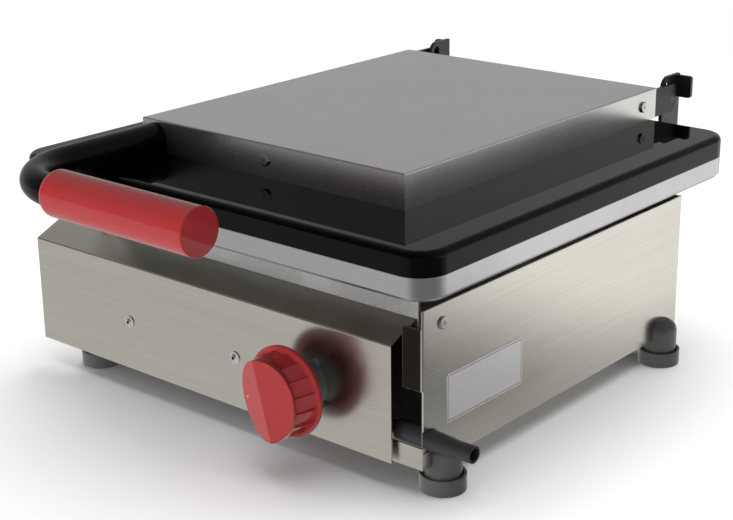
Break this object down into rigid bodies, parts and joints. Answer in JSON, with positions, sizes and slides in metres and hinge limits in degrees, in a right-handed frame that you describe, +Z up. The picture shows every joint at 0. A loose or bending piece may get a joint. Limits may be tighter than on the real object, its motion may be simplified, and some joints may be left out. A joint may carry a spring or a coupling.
{
  "type": "countertop gas griddle with hinged press lid",
  "caption": "Countertop gas griddle in sheet steel with a hinged press lid, a side-bent grip handle, a gas knob and a hose nozzle.",
  "frame": {"origin": "on the table, under the middle of the whole outline, between the four feet", "axes": "+X to the user's right, +Y to the back where the hinge is, +Z up"},
  "size_m": [0.418, 0.5244, 0.209],
  "materials": {
    "stainless": "brushed",
    "plated_steel": "satin",
    "black_steel": "satin",
    "cast_aluminium": "machined",
    "black_enamel": "gloss",
    "insulation": "matte",
    "red_plastic": "gloss",
    "grey_ring": "satin",
    "foot_rubber": "matte",
    "nozzle_plastic": "satin",
    "brass": "cast",
    "burner_steel": "heat stained",
    "bush_steel": "turned"
  },
  "bodies": {
    "base": {"side_panel_left": "stainless", "side_panel_right": "stainless", "back_panel": "stainless", "front_strip": "stainless", "heat_shield": "plated_steel", "bottom_tray": "plated_steel", "front_cover": "stainless", "cover_bracket": "plated_steel", "cover_rivets": "plated_steel", "support_rail_left": "plated_steel", "support_rail_right": "plated_steel", "griddle_plate": "cast_aluminium", "burner_tube": "burner_steel", "burner_cradle_front": "plated_steel", "burner_cradle_rear": "plated_steel", "gas_inlet": "nozzle_plastic", "gas_valve": "brass", "gas_manifold": "brass", "gas_injector": "brass", "knob_bezel": "grey_ring", "hinge_post_left": "black_steel", "hinge_post_right": "black_steel", "panel_screws": "plated_steel", "post_screws": "plated_steel", "foot_front_left": "foot_rubber", "foot_cup_front_left": "foot_rubber", "foot_front_right": "foot_rubber", "foot_cup_front_right": "foot_rubber", "foot_rear_left": "foot_rubber", "foot_cup_rear_left": "foot_rubber", "foot_rear_right": "foot_rubber", "foot_cup_rear_right": "foot_rubber"},
    "bushes": {"slot_bush_left": "bush_steel", "slot_bush_right": "bush_steel"},
    "lid": {"lid_arm_left": "black_steel", "lid_arm_right": "black_steel", "pivot_rod": "black_steel", "press_plate": "cast_aluminium", "lid_pan": "black_enamel", "insulation_pad": "insulation", "lid_bolts": "plated_steel", "hood": "stainless", "hood_bracket": "plated_steel", "hood_screws": "plated_steel", "handle_tube": "black_steel", "handle_strap_front": "plated_steel", "handle_strap_rear": "plated_steel", "handle_grip": "red_plastic"},
    "spring_carrier": {"spring_cup": "plated_steel"},
    "knob": {"knob": "red_plastic", "valve_stem": "plated_steel"}
  },
  "joints": [
    {"name": "lid_rise", "type": "slide", "parent": "base", "child": "bushes", "axis": [0, 0, 1], "range_m": [0, 0.01]},
    {"name": "lid_hinge", "type": "hinge", "parent": "bushes", "child": "lid", "pos_m": [0, 0.2429, 0.191], "axis": [-1, 0, 0], "range_deg": [0, 102]},
    {"name": "knob_push", "type": "slide", "parent": "base", "child": "spring_carrier", "axis": [0, 1, 0], "range_m": [0, 0.0035], "stiffness_N_per_m": 900},
    {"name": "knob_turn", "type": "hinge", "parent": "spring_carrier", "child": "knob", "pos_m": [0.0762, -0.16975, 0.0596], "axis": [0, -1, 0], "range_deg": [0, 180]}
  ]
}
